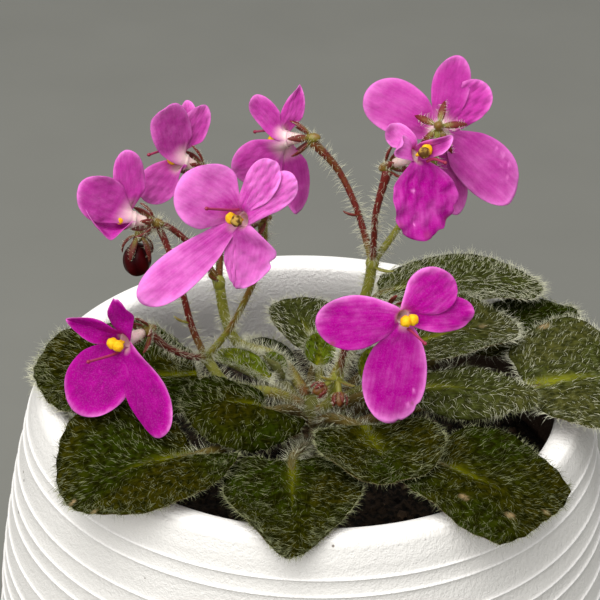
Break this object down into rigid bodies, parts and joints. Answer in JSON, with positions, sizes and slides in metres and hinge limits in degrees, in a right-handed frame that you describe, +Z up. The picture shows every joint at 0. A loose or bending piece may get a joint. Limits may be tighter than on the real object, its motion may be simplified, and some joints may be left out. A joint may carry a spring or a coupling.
{
  "type": "potted african violet",
  "caption": "Small hairy-leaved flowering houseplant in bloom, rooted in soil in a round ribbed stoneware cover pot.",
  "frame": {"origin": "middle of the pot's foot, on the surface that it stands on", "axes": "+Z up along the pot's axis; -Y is the front, where the largest front leaf hangs over the lip; +X to the right seen from the front"},
  "size_m": [0.1352, 0.13, 0.1821],
  "materials": {
    "pot": null,
    "soil": null,
    "leaf": null,
    "stalk": "green to red-brown hairy stalks",
    "petal": "magenta-pink, satin with a fine sparkle",
    "anther": "matt yellow",
    "style": "dark red, smooth",
    "bud": "dark maroon, satin"
  },
  "bodies": {
    "root": {"pot": "pot", "soil": "soil", "crown": "stalk", "leaf_front": "leaf", "leaf_front_left": "leaf", "leaf_front_right": "leaf", "leaf_left": "leaf", "leaf_right": "leaf", "leaf_back_right": "leaf", "leaf_back_far_right": "leaf", "leaf_inner_left": "leaf", "leaf_inner_front": "leaf", "leaf_inner_right": "leaf", "leaf_upper_right": "leaf", "leaf_back": "leaf", "leaf_back_left": "leaf", "leaf_small_back": "leaf", "leaf_small_left": "leaf", "leaf_small_right": "leaf", "leaf_young_back": "leaf", "scape_1": "stalk", "scape_2": "stalk", "scape_3": "stalk", "scape_4": "stalk", "flower_1": "petal", "anthers_1": "anther", "pistil_1": "style", "flower_2": "petal", "anthers_2": "anther", "pistil_2": "style", "flower_3": "petal", "anthers_3": "anther", "pistil_3": "style", "flower_4": "petal", "anthers_4": "anther", "pistil_4": "style", "flower_5": "petal", "anthers_5": "anther", "pistil_5": "style", "flower_6": "petal", "anthers_6": "anther", "pistil_6": "style", "flower_7": "petal", "anthers_7": "anther", "pistil_7": "style", "flower_8": "petal", "anthers_8": "anther", "pistil_8": "style", "bud": "bud"}
  },
  "joints": []
}
